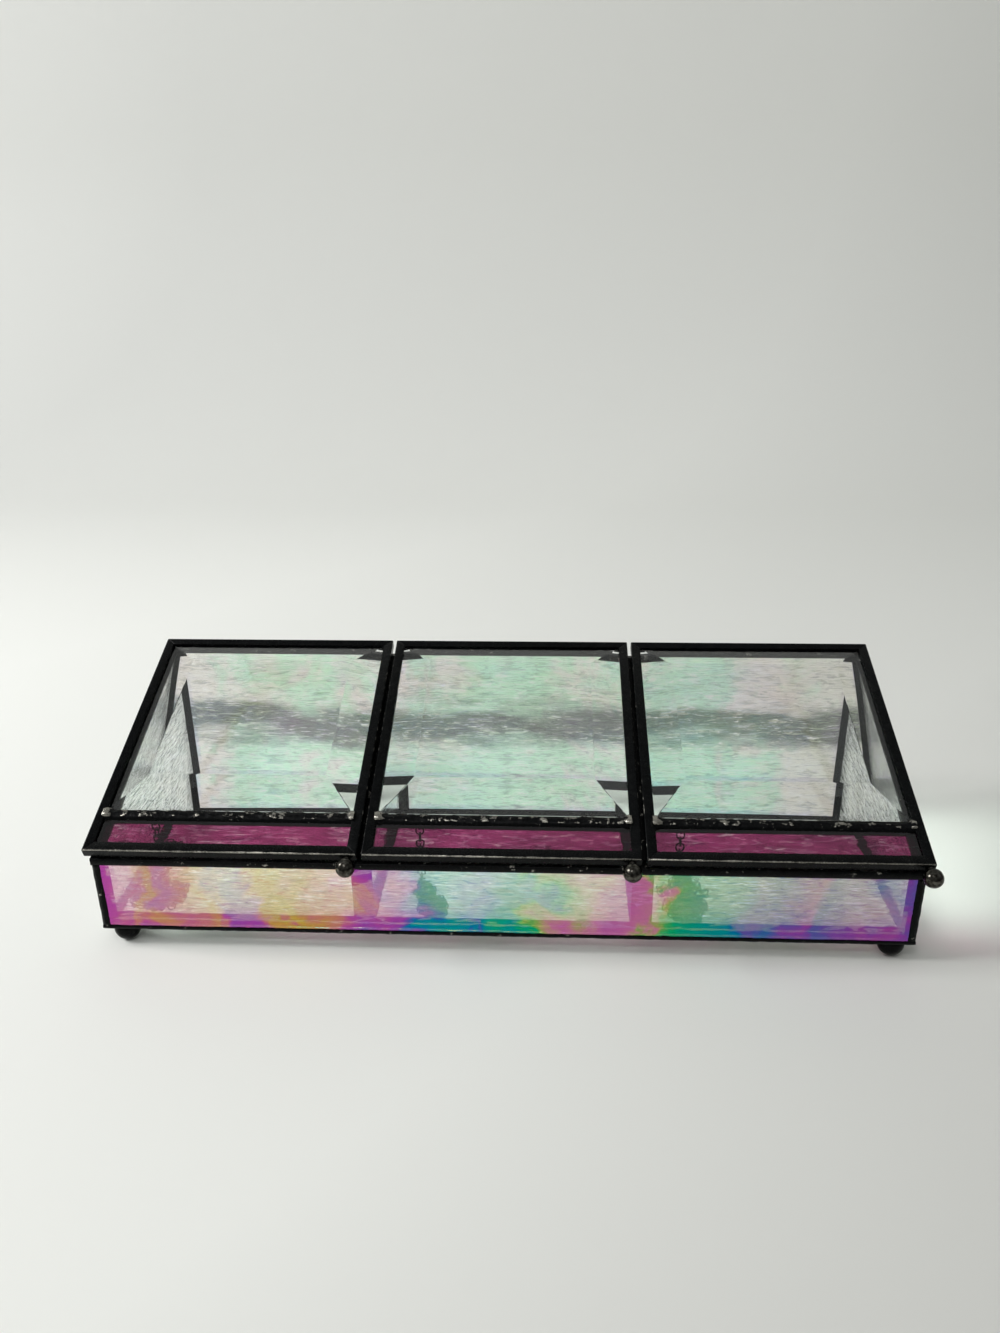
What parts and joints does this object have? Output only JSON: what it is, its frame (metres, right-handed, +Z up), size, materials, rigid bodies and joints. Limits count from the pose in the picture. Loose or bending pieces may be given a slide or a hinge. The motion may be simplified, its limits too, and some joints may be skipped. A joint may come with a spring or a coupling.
{
  "type": "stained glass casket box",
  "caption": "Footed stained-glass casket with side-by-side compartments under sloping bevelled lids, each held open by a chain.",
  "frame": {"origin": "centre of the outline on the surface that the feet stand on", "axes": "+X to the right along the front, +Y to the back, where the hinges are, +Z up"},
  "size_m": [0.3067, 0.1182, 0.0818],
  "materials": {
    "iridescent_glass": "water-textured glass with an iridescent coating",
    "clear_glass": "clear, smooth",
    "textured_glass": "clear, heavily water-textured",
    "bevelled_glass": "clear plate glass with polished bevels",
    "coloured_glass": "streaky pink-purple, rippled",
    "came": "black-patinated lead came, satin",
    "solder": "black-patinated lumpy solder, semi-gloss",
    "hinge_metal": "brass tube and rod with a black patina",
    "chain": "plated steel wire, semi-gloss"
  },
  "bodies": {
    "base": {"bottom_glass": "clear_glass", "front_glass": "iridescent_glass", "back_glass": "iridescent_glass", "left_side_glass": "textured_glass", "left_divider": "textured_glass", "left_divider_seam": "solder", "right_side_glass": "textured_glass", "right_divider": "textured_glass", "right_divider_seam": "solder", "left_front_corner_seam": "solder", "left_front_foot": "solder", "left_back_corner_seam": "solder", "left_back_foot": "solder", "right_front_corner_seam": "solder", "right_front_foot": "solder", "right_back_corner_seam": "solder", "right_back_foot": "solder", "top_edge_seam": "solder", "bottom_edge_seam": "solder", "left_floor_seam": "solder", "left_hinge_tube": "hinge_metal", "middle_floor_seam": "solder", "middle_hinge_tube": "hinge_metal", "right_floor_seam": "solder", "right_hinge_tube": "hinge_metal"},
    "left_lid": {"left_front_rail": "came", "left_back_rail": "came", "left_left_stile": "came", "left_right_stile": "came", "left_bevel": "bevelled_glass", "left_strip": "coloured_glass", "left_bar": "solder", "left_knob": "solder", "left_hinge_rod": "hinge_metal"},
    "left_chain": {"left_chain_drop": "chain"},
    "left_chain_end": {"left_chain_heap": "chain"},
    "middle_lid": {"middle_front_rail": "came", "middle_back_rail": "came", "middle_left_stile": "came", "middle_right_stile": "came", "middle_bevel": "bevelled_glass", "middle_strip": "coloured_glass", "middle_bar": "solder", "middle_knob": "solder", "middle_hinge_rod": "hinge_metal"},
    "middle_chain": {"middle_chain_drop": "chain"},
    "middle_chain_end": {"middle_chain_heap": "chain"},
    "right_lid": {"right_front_rail": "came", "right_back_rail": "came", "right_left_stile": "came", "right_right_stile": "came", "right_bevel": "bevelled_glass", "right_strip": "coloured_glass", "right_bar": "solder", "right_knob": "solder", "right_hinge_rod": "hinge_metal"},
    "right_chain": {"right_chain_drop": "chain"},
    "right_chain_end": {"right_chain_heap": "chain"}
  },
  "joints": [
    {"name": "left_lid_hinge", "type": "hinge", "parent": "base", "child": "left_lid", "pos_m": [-0.1022, 0.0576, 0.07516], "axis": [-1, 0, 0], "range_deg": [0, 115], "deforming": ["left_chain_drop", "left_chain_heap"]},
    {"name": "left_chain_swing", "type": "hinge", "parent": "left_lid", "child": "left_chain", "pos_m": [-0.131, -0.03506, 0.04226], "axis": [-1, 0, 0], "range_deg": [-80.6, 0]},
    {"name": "left_chain_run", "type": "slide", "parent": "left_chain", "child": "left_chain_end", "axis": [0, 0.0463, -0.9989], "range_m": [0, 0.1635]},
    {"name": "middle_lid_hinge", "type": "hinge", "parent": "base", "child": "middle_lid", "pos_m": [0, 0.0576, 0.07516], "axis": [-1, 0, 0], "range_deg": [0, 115], "deforming": ["middle_chain_drop", "middle_chain_heap"]},
    {"name": "middle_chain_swing", "type": "hinge", "parent": "middle_lid", "child": "middle_chain", "pos_m": [-0.031, -0.03506, 0.04226], "axis": [-1, 0, 0], "range_deg": [-80.6, 0]},
    {"name": "middle_chain_run", "type": "slide", "parent": "middle_chain", "child": "middle_chain_end", "axis": [0, 0.0463, -0.9989], "range_m": [0, 0.1635]},
    {"name": "right_lid_hinge", "type": "hinge", "parent": "base", "child": "right_lid", "pos_m": [0.1022, 0.0576, 0.07516], "axis": [-1, 0, 0], "range_deg": [0, 115], "deforming": ["right_chain_drop", "right_chain_heap"]},
    {"name": "right_chain_swing", "type": "hinge", "parent": "right_lid", "child": "right_chain", "pos_m": [0.0655, -0.03506, 0.04226], "axis": [-1, 0, 0], "range_deg": [-80.6, 0]},
    {"name": "right_chain_run", "type": "slide", "parent": "right_chain", "child": "right_chain_end", "axis": [0, 0.0463, -0.9989], "range_m": [0, 0.1635]}
  ],
  "couplings": [
    {"joint": "left_chain_swing", "follows": "left_lid_hinge", "ratio": -0.7},
    {"joint": "left_chain_run", "follows": "left_lid_hinge", "m_per_rad": 0.08138},
    {"joint": "middle_chain_swing", "follows": "middle_lid_hinge", "ratio": -0.7},
    {"joint": "middle_chain_run", "follows": "middle_lid_hinge", "m_per_rad": 0.08138},
    {"joint": "right_chain_swing", "follows": "right_lid_hinge", "ratio": -0.7},
    {"joint": "right_chain_run", "follows": "right_lid_hinge", "m_per_rad": 0.08138}
  ]
}
